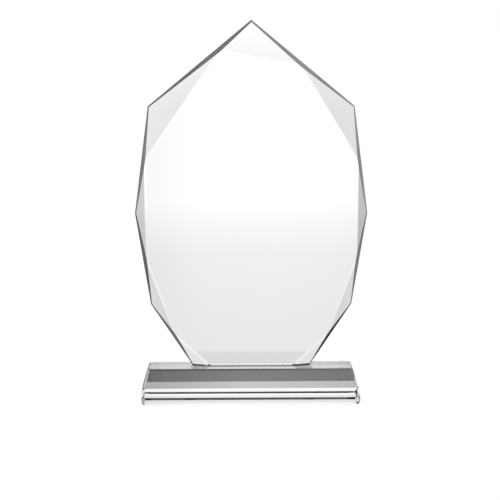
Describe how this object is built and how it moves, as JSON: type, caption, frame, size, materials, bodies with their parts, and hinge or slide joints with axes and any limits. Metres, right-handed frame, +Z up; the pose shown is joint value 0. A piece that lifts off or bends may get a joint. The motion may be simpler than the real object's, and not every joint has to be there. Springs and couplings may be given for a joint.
{
  "type": "crystal award",
  "caption": "Free-standing award: a clear faceted crystal plate with a pointed outline, bonded upright on a clear base block with sloped sides.",
  "frame": {"origin": "centre of the resting plane, under the middle of the base", "axes": "+X to the award's right as it is read, +Y towards its flat back, +Z up"},
  "size_m": [0.1545, 0.038, 0.2543],
  "materials": {
    "plate_crystal": "polished clear optical crystal",
    "base_crystal": "polished clear optical crystal",
    "clear_adhesive": "clear light-cured adhesive film",
    "clear_pad": "clear soft bumper pad"
  },
  "bodies": {
    "root": {"plate": "plate_crystal", "base": "base_crystal", "bond": "clear_adhesive", "pad_front_left": "clear_pad", "pad_front_right": "clear_pad", "pad_back_left": "clear_pad", "pad_back_right": "clear_pad"}
  },
  "joints": []
}
